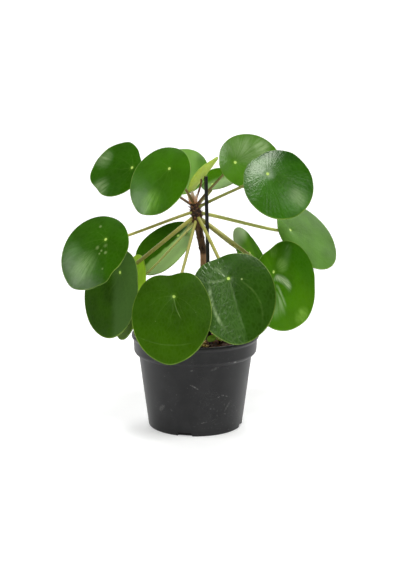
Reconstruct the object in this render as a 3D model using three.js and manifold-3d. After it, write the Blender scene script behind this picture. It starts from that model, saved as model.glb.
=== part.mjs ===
// A Chinese money plant in a round black nursery pot, in millimetres with +Z up.
// The origin is the middle of the pot's flat foot, and the plant's front looks along -Y.
import * as THREE from 'three';
import { mergeVertices } from 'three/addons/utils/BufferGeometryUtils.js';
import Module from 'manifold-3d';

const wasm = await Module();
wasm.setup();

// Pieces that touch keep this much air between them, and leaf stalks a little more round the stem
const GAP = 0.3;
const STALK_GAP = 0.4;

// The pot: a 12 cm nursery pot
const POT_HEIGHT = 89;
const LIP_RADIUS = 60.2;
const BAND_RADIUS = 58.4;
const BAND_BOTTOM = 73;
const WALL_TOP_RADIUS = 53.4;
const FOOT_RADIUS = 44.4;
const POT_WALL = 1.3;
const POT_FLOOR = 1.8;
const POT_SIDES = 48;

// Drain slots in the corner of the foot, and round holes in the floor
const SLOT_BEARINGS = [-13, 77, 167, 257];
const SLOT_WIDTH = 14;
const SLOT_HEIGHT = 3.8;
const FLOOR_HOLE_RADIUS = 3.5;
const FLOOR_HOLE_CIRCLE = 25;

// The soil
const SOIL_LEVEL = 83.5;
const SOIL_LUMP = 0.9;

// Bark chips in its surface: how many, their least and greatest length, width and thickness, how far
// out they lie, and how far they stay from what stands in the soil
const BARK_CHIPS = 20;
const CHIP_LENGTH = [5, 10];
const CHIP_WIDTH = [3, 5.5];
const CHIP_THICKNESS = [1.6, 2.6];
const CHIP_REACH = [10, 49];
const CHIP_CLEARANCE = 10;

// The woody stem: the middle of it at some heights, its thickness, and the rings left by old leaves
const STEM_FOOT = 26;
const STEM_TOP = 213;
const STEM_SIDES = 10;
const STEM_LINE = [
  [9, STEM_FOOT], [8.8, SOIL_LEVEL], [8.3, 120], [7.8, 150], [7.6, 166],
  [5.4, 177], [3.4, 188], [1.8, 198], [0.2, 207], [-0.9, STEM_TOP],
];
const STEM_RADIUS = [
  [3.4, STEM_FOOT], [3.4, 100], [3.2, 150], [3.0, 163], [3.4, 172], [3.5, 186],
  [4.7, 196], [5.1, 203], [4.5, 208.5], [3.6, 211.8], [2.4, STEM_TOP],
];
const SCAR_HEIGHTS = [94, 105, 117, 128, 139, 149, 170, 180, 189];
const SCAR_DEPTH = 0.5;
const SCAR_HALF_WIDTH = 1.6;

// Papery scales and a bud on top of the stem, each a slim cone: where it stands, how far its point
// leans left and forwards, its thickness and its height
const TIP_SCALES = [
  { foot: [-2, -0.8], lean: [-3.4, -2.2], radius: 1.6, height: 9.6 },
  { foot: [-2, 0.6], lean: [-1.6, -0.6], radius: 1.2, height: 8.6 },
  { foot: [-2.8, 0.3], lean: [-5.4, -0.6], radius: 1, height: 7 },
  { foot: [-1.6, -1.6], lean: [0.4, -1.8], radius: 1, height: 5 },
];

// The support stake: a straight rod, leaning a little
const STAKE_RADIUS = 1.7;
const STAKE_TOP = [9.8, -10, 239.2];
const STAKE_FOOT = [14.9, -10, 30];

// The leaves. All are one shape, a round blade that its stalk meets at a point inside the edge, and
// each is set by these sizes:
//   at: the point where the stalk meets the blade, on the blade's upper face
//   azimuth, elevation: where the upper face looks, with 0 as the front and + to the right
//   roll: how far the blade's tip is turned from pointing straight down the slope
//   length, width: the blade laid flat; seat: how far along it the stalk sits, from its base
//   egg: how much wider, or narrower if negative, the tip's half is than the base's half
//   across, along: how far the blade bends down to its sides and its ends, in degrees
//   fold: how far each half is folded up along the main vein, in degrees
//   bumps: places on the edge, as [bearing from the tip, mm outwards, spread in degrees]
//   stalk: the stalk's thickness; root: the height at which it leaves the stem; out: how far from the
//   stem's middle it starts; hook: how long its last turn up to the blade is
const LEAVES = [
  { name: 'leaf_upper_left_outer', at: [-58, 8, 244], azimuth: -38, elevation: 31, roll: -80,
    length: 58, width: 55, seat: 0.18, egg: -0.01, across: -4, along: -4, stalk: 2, root: 208,
    bumps: [[10, 1.5, 18], [45, -1.8, 16], [205, -2.2, 20], [255, 1.5, 14], [318, -1, 14]] },
  { name: 'leaf_upper_left_front', at: [-22.5, -40, 250], azimuth: -37, elevation: 30, roll: -38,
    length: 68, width: 64, seat: 0.29, egg: 0.03, across: 2, along: 11, stalk: 2.1, root: 209.5,
    bumps: [[18, 1, 14]] },
  { name: 'leaf_top_rear', at: [-11.5, 34, 245.5], azimuth: -8, elevation: 40, roll: 2,
    length: 50, width: 48, seat: 0.32, egg: -0.04, across: 4, along: 6, stalk: 1.9, root: 209.5 },
  { name: 'leaf_youngest', at: [4.5, -2, 236], azimuth: -115, elevation: 38, roll: 180,
    length: 42, width: 32, seat: 0.4, across: -40, stalk: 1.6, root: 211, hook: 4,
    bumps: [[0, 2, 14]] },
  { name: 'leaf_upper_right_rear', at: [16.5, 36, 225], azimuth: -16, elevation: 66, roll: 138,
    length: 40, width: 36, seat: 0.28, fold: 15, stalk: 1.9, root: 208 },
  { name: 'leaf_top_right', at: [36.5, -8, 251.5], azimuth: 20, elevation: 30, roll: 92,
    length: 62, width: 56, seat: 0.25, across: 2, along: 3, stalk: 2, root: 211.6, out: 2.8,
    bumps: [[168, -0.7, 12], [240, -0.7, 14]] },
  { name: 'leaf_upper_right_front', at: [65, -38, 245], azimuth: 15, elevation: 30, roll: 45,
    length: 66, width: 67, seat: 0.29, across: -2, along: 8, stalk: 2.3, root: 207,
    bumps: [[105, 1, 14], [162, -1, 12], [198, 0.7, 12]] },
  { name: 'leaf_right_outer', at: [89.5, 24, 182.5], azimuth: 54, elevation: 37, roll: 63,
    length: 78, width: 72, seat: 0.21, across: -2, along: -2, stalk: 2.8, root: 204,
    bumps: [[168, -1, 14]] },
  { name: 'leaf_right_rear', at: [52.5, 42, 157.5], azimuth: 72, elevation: 29, roll: 7,
    length: 74, width: 65, seat: 0.37, across: 3, along: 5, stalk: 2.4, root: 199 },
  { name: 'leaf_lower_right', at: [72, -32, 154], azimuth: 42, elevation: 4, roll: 42,
    length: 87, width: 82, seat: 0.25, egg: -0.05, across: 6, along: 2, stalk: 3.2, root: 200,
    bumps: [[0, 1, 16], [45, -1.3, 14], [162, -2.2, 14]] },
  { name: 'leaf_front_right', at: [30, -62, 154], azimuth: -3, elevation: 22, roll: 18,
    length: 83, width: 76, seat: 0.275, egg: -0.1, across: 4, along: 10, stalk: 2.7, root: 202.5,
    bumps: [[21, -0.8, 12], [140, 1, 16], [186, -1.6, 13], [212, 1, 12], [298, -0.8, 12], [340, 1, 14]] },
  { name: 'leaf_front_left', at: [-19, -68, 139], azimuth: -14, elevation: 20, roll: -3,
    length: 83, width: 74, seat: 0.27, egg: -0.06, across: -2, along: 14, stalk: 2.4, root: 199.5,
    bumps: [[5, 1.2, 14], [158, 2.4, 16], [191, -3, 13], [223, 1.2, 16]] },
  { name: 'leaf_left_outer', at: [-80, -45, 186], azimuth: -35, elevation: 35, roll: -39,
    length: 74, width: 72, seat: 0.28, egg: 0.03, across: -8, along: 14, stalk: 2.4, root: 205,
    bumps: [[20, 1.2, 14], [84, 1.8, 9], [99, -1.8, 9], [140, 0.8, 16]] },
  { name: 'leaf_lower_left', at: [-68.5, -25, 152], azimuth: -50, elevation: 11, roll: -28,
    length: 87, width: 79, seat: 0.235, egg: 0.06, across: -2, along: 3, stalk: 3.2, root: 201,
    bumps: [[138, -1.5, 13], [174, 0.7, 14]] },
  { name: 'leaf_left_rear', at: [-16.5, 36, 175.5], azimuth: -48, elevation: 46, roll: -7,
    length: 66, width: 62, seat: 0.25, egg: 0.2, fold: 12, stalk: 2.4, root: 202,
    bumps: [[110, 2.5, 30]] },
  { name: 'leaf_lower_left_rear', at: [-59, -4, 138], azimuth: -70, elevation: 16, roll: 0,
    length: 82, width: 72, seat: 0.33, across: 3, along: 5, stalk: 1.8, root: 196.5 },
];
const BLADE_THICKNESS = 1;
const BLADE_SPOKES = 32;
const BLADE_INNER_RING = 0.5;
const STALK_SIDES = 7;
const STALK_STEPS = 8;
const STALK_BOW = 3;
const STALK_HOOK = 9;
const STALK_FLARE = 1.2;

// The seedling at the soil's surface
const SEEDLING_AT = [17, -24];
const SEEDLING_STEM = 2;
const SEEDLING_LEAVES = [
  { bearing: -20, lean: 4.5, height: 7, radius: 4.8 },
  { bearing: 115, lean: 4, height: 4.6, radius: 3.6 },
  { bearing: 235, lean: 3.6, height: 5.6, radius: 3 },
];

// Surface colours
const COLOURS = {
  pot: { color: 0x2e2f30, roughness: 0.45, metalness: 0 },
  soil: { color: 0x4a2a1a, roughness: 0.95, metalness: 0 },
  stem: { color: 0x4b3122, roughness: 0.85, metalness: 0 },
  tip: { color: 0x9a6234, roughness: 0.8, metalness: 0 },
  stake: { color: 0x151515, roughness: 0.4, metalness: 0 },
  leaf: { color: 0x3c7a1c, roughness: 0.35, metalness: 0 },
  youngLeaf: { color: 0x9db545, roughness: 0.45, metalness: 0 },
};

const radians = THREE.MathUtils.degToRad;
const UP = new THREE.Vector3(0, 0, 1);

// A closed geometry as a solid, and a solid as a geometry
function solidOf(geometry) {
  geometry.deleteAttribute('normal');
  geometry.deleteAttribute('uv');
  const merged = mergeVertices(geometry, 1e-4);
  return new wasm.Manifold(new wasm.Mesh({
    numProp: 3,
    vertProperties: new Float32Array(merged.attributes.position.array),
    triVerts: new Uint32Array(merged.index.array),
  }));
}

function geometryOf(solid) {
  const mesh = solid.getMesh();
  const geometry = new THREE.BufferGeometry();
  geometry.setAttribute('position', new THREE.BufferAttribute(mesh.vertProperties, 3));
  geometry.setIndex(new THREE.BufferAttribute(mesh.triVerts, 1));
  geometry.computeVertexNormals();
  return geometry;
}

// A number that follows a list of [value, height] pairs in straight steps
function valueAt(pairs, height) {
  for (let i = 1; i < pairs.length; i += 1) {
    const [low, from] = pairs[i - 1];
    const [high, to] = pairs[i];
    if (height <= to) return THREE.MathUtils.lerp(low, high, Math.max(0, (height - from) / (to - from)));
  }
  return pairs[pairs.length - 1][0];
}

// Turns an outline of [radius, height] points round the Z axis
function turned(outline, sides) {
  const points = outline.map(([radius, height]) => new THREE.Vector2(radius, height));
  return new THREE.LatheGeometry(points, sides).rotateX(Math.PI / 2);
}

// Repeatable random numbers from 0 to 1
function dice(seed) {
  let state = seed;
  return () => {
    state = (state * 16807) % 2147483647;
    return state / 2147483647;
  };
}

// A round rod along a curve, thicker at its start by the flare
function rodAlong(curve, radius, flare, sides, steps) {
  const rod = new THREE.CylinderGeometry(radius, radius * flare, 1, sides, steps);
  const frames = curve.computeFrenetFrames(steps, false);
  const place = rod.attributes.position;
  const corner = new THREE.Vector3();
  for (let i = 0; i < place.count; i += 1) {
    corner.fromBufferAttribute(place, i);
    const step = Math.round((corner.y + 0.5) * steps);
    const point = curve.getPointAt(step / steps);
    point.addScaledVector(frames.normals[step], corner.x);
    point.addScaledVector(frames.binormals[step], -corner.z);
    place.setXYZ(i, point.x, point.y, point.z);
  }
  return rod;
}

// Pot
// The inside of the pot from the middle of the floor up to the lip, shared with the soil
function potInside() {
  return [
    [0, POT_FLOOR],
    [FOOT_RADIUS - POT_WALL, POT_FLOOR],
    [WALL_TOP_RADIUS - POT_WALL, BAND_BOTTOM - 2],
    [BAND_RADIUS - POT_WALL, BAND_BOTTOM + 1],
    [BAND_RADIUS - POT_WALL, POT_HEIGHT - 4],
  ];
}

function makePot() {
  const shell = turned([
    [0, 0],
    [FOOT_RADIUS - 1, 0],
    [FOOT_RADIUS, 1],
    [WALL_TOP_RADIUS, BAND_BOTTOM - 4],
    [WALL_TOP_RADIUS + 3, BAND_BOTTOM - 2.4],
    [BAND_RADIUS - 0.6, BAND_BOTTOM],
    [BAND_RADIUS, POT_HEIGHT - 5],
    [LIP_RADIUS, POT_HEIGHT - 2.6],
    [LIP_RADIUS - 0.4, POT_HEIGHT],
    [LIP_RADIUS - 2.2, POT_HEIGHT],
    ...potInside().reverse(),
  ], POT_SIDES);
  let pot = solidOf(shell);
  for (const bearing of SLOT_BEARINGS) {
    const slot = new THREE.BoxGeometry(SLOT_WIDTH, 9, 2 * SLOT_HEIGHT);
    slot.translate(0, -FOOT_RADIUS, 0).rotateZ(radians(bearing));
    pot = pot.subtract(solidOf(slot));
    const hole = new THREE.CylinderGeometry(FLOOR_HOLE_RADIUS, FLOOR_HOLE_RADIUS, 9, 16);
    hole.rotateX(Math.PI / 2).translate(0, -FLOOR_HOLE_CIRCLE, 0).rotateZ(radians(bearing + 45));
    pot = pot.subtract(solidOf(hole));
  }
  return pot;
}

// Soil
// How high the soil lies above its level, a gentle unevenness
function soilRise(x, y) {
  return SOIL_LUMP * (Math.sin(x * 0.17 + 1) * Math.cos(y * 0.21) + 0.5 * Math.sin(x * 0.41 - y * 0.33));
}

function makeSoil(standing) {
  const wall = potInside().map(([radius, height], i) => [i ? radius - GAP : 0, height + GAP]);
  wall[wall.length - 1][1] = SOIL_LEVEL;
  const top = [44, 30, 16, 0].map((radius) => [radius, SOIL_LEVEL]);
  const body = turned([...wall, ...top], POT_SIDES);
  const place = body.attributes.position;
  for (let i = 0; i < place.count; i += 1) {
    const x = place.getX(i);
    const y = place.getY(i);
    if (place.getZ(i) > SOIL_LEVEL - 0.1) place.setZ(i, SOIL_LEVEL + soilRise(x, y));
  }
  let soil = solidOf(body);

  // Bark chips lie half sunk in the surface, clear of what stands in the soil
  const random = dice(11);
  const between = ([low, high]) => low + (high - low) * random();
  const busy = [[STEM_LINE[1][0], 0], [STAKE_FOOT[0], STAKE_FOOT[1]], SEEDLING_AT];
  let placed = 0;
  while (placed < BARK_CHIPS) {
    const reach = between(CHIP_REACH);
    const bearing = between([0, 2 * Math.PI]);
    const x = reach * Math.cos(bearing);
    const y = reach * Math.sin(bearing);
    const chip = new THREE.BoxGeometry(between(CHIP_LENGTH), between(CHIP_WIDTH), between(CHIP_THICKNESS));
    chip.rotateX(between([-0.25, 0.25])).rotateY(between([-0.25, 0.25])).rotateZ(between([0, Math.PI]));
    if (busy.some(([bx, by]) => Math.hypot(x - bx, y - by) < CHIP_CLEARANCE)) continue;
    chip.translate(x, y, SOIL_LEVEL + soilRise(x, y) + GAP);
    soil = soil.add(solidOf(chip));
    placed += 1;
  }
  for (const thing of standing) soil = soil.subtract(thing);
  return soil;
}

// Stem
// The stem's outline is turned and then leant over along its own line. The swell makes it thicker all
// over, for the room that its neighbours leave round it.
function stemSolid(swell) {
  const heights = new Set(STEM_RADIUS.map((pair) => pair[1]));
  for (const [, height] of STEM_LINE) heights.add(height);
  for (const scar of SCAR_HEIGHTS) {
    heights.add(scar - SCAR_HALF_WIDTH).add(scar).add(scar + SCAR_HALF_WIDTH);
  }
  const sorted = [...heights].sort((a, b) => a - b);
  const outline = sorted.map((height) => {
    const scar = SCAR_HEIGHTS.includes(height) ? SCAR_DEPTH : 0;
    return [valueAt(STEM_RADIUS, height) + scar + swell, height];
  });
  const ends = [[0, STEM_FOOT - swell], ...outline, [0, STEM_TOP + swell]];
  ends[1][1] -= swell;
  ends[ends.length - 2][1] += swell;
  const body = turned(ends, STEM_SIDES);
  const place = body.attributes.position;
  for (let i = 0; i < place.count; i += 1) {
    place.setX(i, place.getX(i) + valueAt(STEM_LINE, place.getZ(i)));
  }
  return solidOf(body);
}

// Growing tip
function makeTip(stalks) {
  let tip = null;
  for (const { foot, lean, radius, height } of TIP_SCALES) {
    const cone = new THREE.CylinderGeometry(0.25, radius, height, 7, 2).rotateX(Math.PI / 2);
    const place = cone.attributes.position;
    for (let i = 0; i < place.count; i += 1) {
      const up = place.getZ(i) / height + 0.5;
      const x = place.getX(i) + foot[0] + lean[0] * up * up;
      const y = place.getY(i) + foot[1] + lean[1] * up * up;
      place.setXYZ(i, x, y, STEM_TOP + GAP + up * height);
    }
    const solid = solidOf(cone);
    tip = tip ? tip.add(solid) : solid;
  }
  for (const stalk of stalks) tip = tip.subtract(stalk);
  return tip;
}

// Stake
function stakeSolid(swell) {
  const from = new THREE.Vector3(...STAKE_FOOT);
  const to = new THREE.Vector3(...STAKE_TOP);
  const along = to.clone().sub(from);
  const radius = STAKE_RADIUS + swell;
  const rod = new THREE.CylinderGeometry(radius, radius, along.length() + 2 * swell, 12);
  const upright = new THREE.Vector3(0, 1, 0);
  rod.applyQuaternion(new THREE.Quaternion().setFromUnitVectors(upright, along.normalize()));
  rod.translate(...from.add(to).divideScalar(2));
  return solidOf(rod);
}

// Leaves
// The blade's own directions: out of its upper face, along it to the tip, and across it
function bladeAxes(leaf) {
  const azimuth = radians(leaf.azimuth);
  const elevation = radians(leaf.elevation);
  const ahead = new THREE.Vector3(Math.sin(azimuth), -Math.cos(azimuth), 0);
  const normal = ahead.clone().multiplyScalar(Math.cos(elevation)).addScaledVector(UP, Math.sin(elevation));
  const down = ahead.clone().multiplyScalar(Math.sin(elevation)).addScaledVector(UP, -Math.cos(elevation));
  const side = normal.clone().cross(down);
  const roll = radians(leaf.roll);
  const along = down.multiplyScalar(Math.cos(roll)).addScaledVector(side, Math.sin(roll));
  return { normal, along, across: normal.clone().cross(along) };
}

// The edge of the flat blade at a bearing from its tip, measured from where the stalk meets it
function bladeEdge(leaf, bearing) {
  let bump = 0;
  for (const [place, height, spread] of leaf.bumps ?? []) {
    const away = THREE.MathUtils.euclideanModulo(bearing - place + 180, 360) - 180;
    bump += height * Math.exp(-((away / spread) ** 2));
  }
  const cos = Math.cos(radians(bearing));
  const sin = Math.sin(radians(bearing));
  const middle = leaf.length * (0.5 - leaf.seat);
  return {
    long: middle + (leaf.length / 2 + bump) * cos,
    wide: ((leaf.width / 2) * (1 + (leaf.egg ?? 0) * cos) + bump) * sin,
  };
}

// Bends a distance and a height over an arc that turns by so many degrees in a given length
function bent(distance, height, degrees, length) {
  if (!degrees) return [distance, height];
  const radius = length / radians(degrees);
  const angle = distance / radius;
  return [(radius + height) * Math.sin(angle), (radius + height) * Math.cos(angle) - radius];
}

// A point of the blade: its reach from 0 at the stalk to 1 at the edge, and its depth under the top
function bladePoint(leaf, axes, reach, bearing, depth) {
  const edge = bladeEdge(leaf, bearing);
  let [wide, high] = bent(edge.wide * reach, -depth, leaf.across, leaf.width);
  if (leaf.fold) {
    high += Math.sin(radians(leaf.fold)) * (Math.hypot(wide, 2) - 2);
    wide *= Math.cos(radians(leaf.fold));
  }
  const [long, rise] = bent(edge.long * reach, high, leaf.along, leaf.length);
  return new THREE.Vector3(...leaf.at)
    .addScaledVector(axes.along, long)
    .addScaledVector(axes.across, wide)
    .addScaledVector(axes.normal, rise);
}

// The blade as a thin closed body, split into triangles in the same way above and below: a fan round
// the stalk's end, then a ring with twice as many corners at the edge
function bladeSolid(leaf) {
  const axes = bladeAxes(leaf);
  const corners = [];
  const half = BLADE_SPOKES / 2;
  for (const depth of [0, BLADE_THICKNESS]) {
    corners.push(bladePoint(leaf, axes, 0, 0, depth));
    for (let spoke = 0; spoke < half; spoke += 1) {
      corners.push(bladePoint(leaf, axes, BLADE_INNER_RING, (360 * spoke) / half, depth));
    }
    for (let spoke = 0; spoke < BLADE_SPOKES; spoke += 1) {
      corners.push(bladePoint(leaf, axes, 1, (360 * spoke) / BLADE_SPOKES, depth));
    }
  }
  const under = corners.length / 2;
  const inner = (spoke) => 1 + (spoke % half);
  const edge = (spoke) => 1 + half + (spoke % BLADE_SPOKES);
  const triangles = [];
  const bothFaces = (a, b, c) => triangles.push(a, b, c, under + a, under + c, under + b);
  for (let spoke = 0; spoke < half; spoke += 1) {
    bothFaces(0, inner(spoke), inner(spoke + 1));
    bothFaces(inner(spoke), edge(2 * spoke), edge(2 * spoke + 1));
    bothFaces(inner(spoke), edge(2 * spoke + 1), inner(spoke + 1));
    bothFaces(inner(spoke + 1), edge(2 * spoke + 1), edge(2 * spoke + 2));
  }
  for (let spoke = 0; spoke < BLADE_SPOKES; spoke += 1) {
    const [here, next] = [edge(spoke), edge(spoke + 1)];
    triangles.push(here, under + here, under + next, here, under + next, next);
  }
  const geometry = new THREE.BufferGeometry().setFromPoints(corners);
  geometry.setIndex(triangles);
  return solidOf(geometry);
}

// The stalk runs almost straight from the stem and turns square to the blade at its end, half way
// into the blade
function stalkSolid(leaf, swell) {
  const { normal } = bladeAxes(leaf);
  const at = new THREE.Vector3(...leaf.at);
  const start = new THREE.Vector3(valueAt(STEM_LINE, leaf.root), 0, leaf.root);
  start.add(new THREE.Vector3(at.x - start.x, at.y, 0).setLength(leaf.out ?? 0));
  const end = at.clone().addScaledVector(normal, -BLADE_THICKNESS / 2);
  const turn = at.clone().addScaledVector(normal, -(leaf.hook ?? STALK_HOOK));
  const lift = start.clone().lerp(turn, 1 / 3).addScaledVector(UP, STALK_BOW);
  const curve = new THREE.CubicBezierCurve3(start, lift, turn, end);
  return solidOf(rodAlong(curve, leaf.stalk / 2 + swell, STALK_FLARE, STALK_SIDES, STALK_STEPS));
}

// Seedling
// One short stem, with each leaf's stalk starting inside it
function makeSeedling() {
  const [x, y] = SEEDLING_AT;
  const ground = SOIL_LEVEL + soilRise(x, y);
  const stem = new THREE.CylinderGeometry(SEEDLING_STEM / 4, SEEDLING_STEM / 2, 6, 8);
  let seedling = solidOf(stem.rotateX(Math.PI / 2).translate(x, y, ground));
  for (const { bearing, lean, height, radius } of SEEDLING_LEAVES) {
    const out = new THREE.Vector3(Math.sin(radians(bearing)), -Math.cos(radians(bearing)), 0);
    const foot = new THREE.Vector3(x, y, ground + 1);
    const top = new THREE.Vector3(x, y, ground + height).addScaledVector(out, lean);
    const knee = new THREE.Vector3(x, y, ground + height * 0.7).addScaledVector(out, lean / 3);
    const stalk = solidOf(rodAlong(new THREE.QuadraticBezierCurve3(foot, knee, top), 0.5, 1, 6, 3));
    const blade = new THREE.CylinderGeometry(radius, radius * 0.85, 0.8, 10).rotateX(Math.PI / 2 - 0.5);
    blade.rotateZ(radians(bearing)).translate(top.x, top.y, top.z);
    seedling = seedling.add(stalk).add(solidOf(blade));
  }
  return seedling;
}

function seedlingHole() {
  const [x, y] = SEEDLING_AT;
  const radius = SEEDLING_STEM / 2 + GAP;
  const hole = new THREE.CylinderGeometry(radius, radius, 12, 12);
  hole.rotateX(Math.PI / 2).translate(x, y, SOIL_LEVEL + soilRise(x, y) + 2);
  return solidOf(hole);
}

// The whole plant
const plant = new THREE.Group();

function addPiece(name, solid, finish) {
  const mesh = new THREE.Mesh(geometryOf(solid), new THREE.MeshStandardMaterial(finish));
  mesh.name = name;
  plant.add(mesh);
}

addPiece('pot', makePot(), COLOURS.pot);
addPiece('soil', makeSoil([stemSolid(GAP), stakeSolid(GAP), seedlingHole()]), COLOURS.soil);
addPiece('stem', stemSolid(0), COLOURS.stem);
addPiece('growing_tip', makeTip(LEAVES.map((leaf) => stalkSolid(leaf, GAP))), COLOURS.tip);
addPiece('stake', stakeSolid(0), COLOURS.stake);
const roomForStem = stemSolid(STALK_GAP);
for (const leaf of LEAVES) {
  const solid = bladeSolid(leaf).add(stalkSolid(leaf, 0)).subtract(roomForStem);
  addPiece(leaf.name, solid, leaf.name === 'leaf_youngest' ? COLOURS.youngLeaf : COLOURS.leaf);
}
addPiece('seedling', makeSeedling(), COLOURS.leaf);

export default plant;
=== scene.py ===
# %% [markdown]
# A Chinese money plant in a black nursery pot. The measured model of the plant is loaded first and
# never changed. Each of its pieces then gets a finer stand-in, made the way it would be made by hand:
# a simple start, edited ring by ring, finished with modifiers, and dressed in a material of nodes.

# %% Load the measured plant and keep its box
import math
import random

import bpy
import numpy as np
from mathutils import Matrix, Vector, noise


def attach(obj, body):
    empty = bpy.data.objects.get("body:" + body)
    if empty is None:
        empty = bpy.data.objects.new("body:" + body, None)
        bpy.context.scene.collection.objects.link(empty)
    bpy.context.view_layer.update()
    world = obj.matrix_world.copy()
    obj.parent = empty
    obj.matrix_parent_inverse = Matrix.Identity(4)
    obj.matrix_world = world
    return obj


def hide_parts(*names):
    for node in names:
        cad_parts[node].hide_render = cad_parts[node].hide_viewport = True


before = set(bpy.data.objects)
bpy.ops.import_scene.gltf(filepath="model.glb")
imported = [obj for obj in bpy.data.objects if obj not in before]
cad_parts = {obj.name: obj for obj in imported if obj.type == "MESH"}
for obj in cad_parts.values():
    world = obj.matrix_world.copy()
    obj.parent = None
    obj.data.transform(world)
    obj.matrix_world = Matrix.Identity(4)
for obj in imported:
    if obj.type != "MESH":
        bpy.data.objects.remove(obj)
bpy.ops.object.select_all(action="DESELECT")
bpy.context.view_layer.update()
MM = 0.001
print("pieces in the frame:", len(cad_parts))

# %% [markdown]
# The camera stands 1.5 m in front of the plant and a little above it, and looks slightly down. A long
# lens from that far keeps the pot's sides nearly straight, as they are in the picture.

# %% Camera
IMAGE_WIDTH, FOCAL_PIXELS, SENSOR_WIDTH = 400, 1637, 36
camera_at = Vector((0.0044, -1.5, 0.46))
camera_target = Vector((0.0044, 0, 0.1348))
bpy.ops.object.camera_add(location=camera_at)
camera = bpy.context.object
camera.rotation_euler = (camera_target - camera_at).to_track_quat("-Z", "Y").to_euler()
camera.data.sensor_fit = "HORIZONTAL"
camera.data.sensor_width = SENSOR_WIDTH
camera.data.lens = SENSOR_WIDTH * FOCAL_PIXELS / IMAGE_WIDTH
camera.data.clip_end = 100
bpy.context.scene.camera = camera
bpy.context.scene.view_settings.view_transform = "Standard"
print("lens:", round(camera.data.lens, 1), "mm")

# %% [markdown]
# A few short helpers do what a hand does over and over: open one piece for editing, close it, put its
# place into its mesh, and apply its modifiers. Bearings are in degrees, counted from the front.

# %% Helpers for modelling
def heading(bearing, elevation=0):
    """The way to a bearing, level or at so many degrees above it."""
    turn, rise = math.radians(bearing), math.radians(elevation)
    return Vector((math.sin(turn) * math.cos(rise), -math.cos(turn) * math.cos(rise), math.sin(rise)))


def only(piece):
    bpy.ops.object.select_all(action="DESELECT")
    piece.select_set(True)
    bpy.context.view_layer.objects.active = piece


def open_edit(piece):
    only(piece)
    bpy.ops.object.mode_set(mode="EDIT")
    bpy.ops.mesh.select_all(action="SELECT")


def close_edit(outwards=False):
    """Ends the editing. If asked, it first turns all faces outwards."""
    if outwards:
        bpy.ops.mesh.select_all(action="SELECT")
        bpy.ops.mesh.normals_make_consistent(inside=False)
    bpy.ops.object.mode_set(mode="OBJECT")


def settle(piece):
    only(piece)
    bpy.ops.object.transform_apply(location=True, rotation=True, scale=True)
    return piece


def apply_modifier(piece, kind, **settings):
    only(piece)
    modifier = piece.modifiers.new(kind.lower(), kind)
    for name, value in settings.items():
        setattr(modifier, name, value)
    bpy.ops.object.modifier_apply(modifier=modifier.name)


def bevel(piece, width, segments, degrees=30):
    """Rounds every edge that turns by more than so many degrees. The width is in mm."""
    apply_modifier(piece, "BEVEL", width=width * MM, segments=segments, limit_method="ANGLE",
                   angle_limit=math.radians(degrees))


def smooth(piece, degrees=180):
    """Shades a piece smooth across every edge that turns by less than so many degrees."""
    only(piece)
    bpy.ops.object.shade_smooth_by_angle(angle=math.radians(degrees))
    return piece


def join(pieces):
    bpy.ops.object.select_all(action="DESELECT")
    for piece in pieces:
        piece.select_set(True)
    bpy.context.view_layer.objects.active = pieces[0]
    bpy.ops.object.join()
    return pieces[0]


def corners(piece):
    places = np.empty(3 * len(piece.data.vertices))
    piece.data.vertices.foreach_get("co", places)
    return places.reshape(-1, 3)


def place_corners(piece, places):
    piece.data.vertices.foreach_set("co", np.asarray(places, float).ravel())
    piece.data.update()


def tell(piece, name, values):
    """Keeps one number, or one vector, for each corner of a piece, for its material to read."""
    values = np.asarray(values, np.float32)
    kind, key = ("FLOAT", "value") if values.ndim == 1 else ("FLOAT_VECTOR", "vector")
    piece.data.attributes.new(name, kind, "POINT").data.foreach_set(key, values.ravel())


def wear(piece, name, materials, nodes=()):
    """Names a finished piece, gives it its materials and says what it stands for. Its faces keep the
    numbers of their materials, as clearing the list would lose them."""
    piece.name = piece.data.name = name
    if materials:
        numbers = [min(face.material_index, len(materials) - 1) for face in piece.data.polygons]
        piece.data.materials.clear()
        for material in materials:
            piece.data.materials.append(material)
        piece.data.polygons.foreach_set("material_index", numbers)
    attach(piece, "root")
    if nodes:
        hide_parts(*nodes)
    print(name, "has", len(piece.data.polygons), "faces")


# %% [markdown]
# Materials are sums of sockets. A Wire wraps a socket, so that a sum written in Python adds the nodes
# for it. Any other node is added by one method, from its type, its settings and its inputs.

# %% Sums on sockets
def feed(tree, socket, value):
    if isinstance(value, Wire):
        tree.links.new(value.socket, socket)
    else:
        socket.default_value = value


def sum_of(operation):
    return lambda self, other: self.math(operation, other)


class Wire:
    """One socket that gives a value."""

    def __init__(self, tree, socket):
        self.tree = tree
        self.socket = socket

    def math(self, operation, *others):
        node = self.tree.nodes.new("ShaderNodeMath")
        node.operation = operation
        for socket, value in zip(node.inputs, (self, *others)):
            feed(self.tree, socket, value)
        return Wire(self.tree, node.outputs[0])

    __add__ = __radd__ = sum_of("ADD")
    __mul__ = __rmul__ = sum_of("MULTIPLY")
    __sub__, __truediv__, __pow__ = sum_of("SUBTRACT"), sum_of("DIVIDE"), sum_of("POWER")

    def __rsub__(self, other):
        return self * -1 + other

    def step(self, low, high):
        """0 below low, 1 above high and smooth between them, or the other way round if high is less."""
        node = self.tree.nodes.new("ShaderNodeMapRange")
        node.interpolation_type = "SMOOTHSTEP"
        ends = (low, high, 0, 1) if low < high else (high, low, 1, 0)
        for name, value in zip(("From Min", "From Max", "To Min", "To Max"), ends):
            node.inputs[name].default_value = value
        feed(self.tree, node.inputs["Value"], self)
        return Wire(self.tree, node.outputs["Result"])


def linear(colour):
    """A colour of 0 to 255, as a screen shows it, in the numbers that a shader takes."""
    parts = [c / 255 for c in colour]
    return tuple(c / 12.92 if c < 0.04045 else ((c + 0.055) / 1.055) ** 2.4 for c in parts) + (1,)


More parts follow.
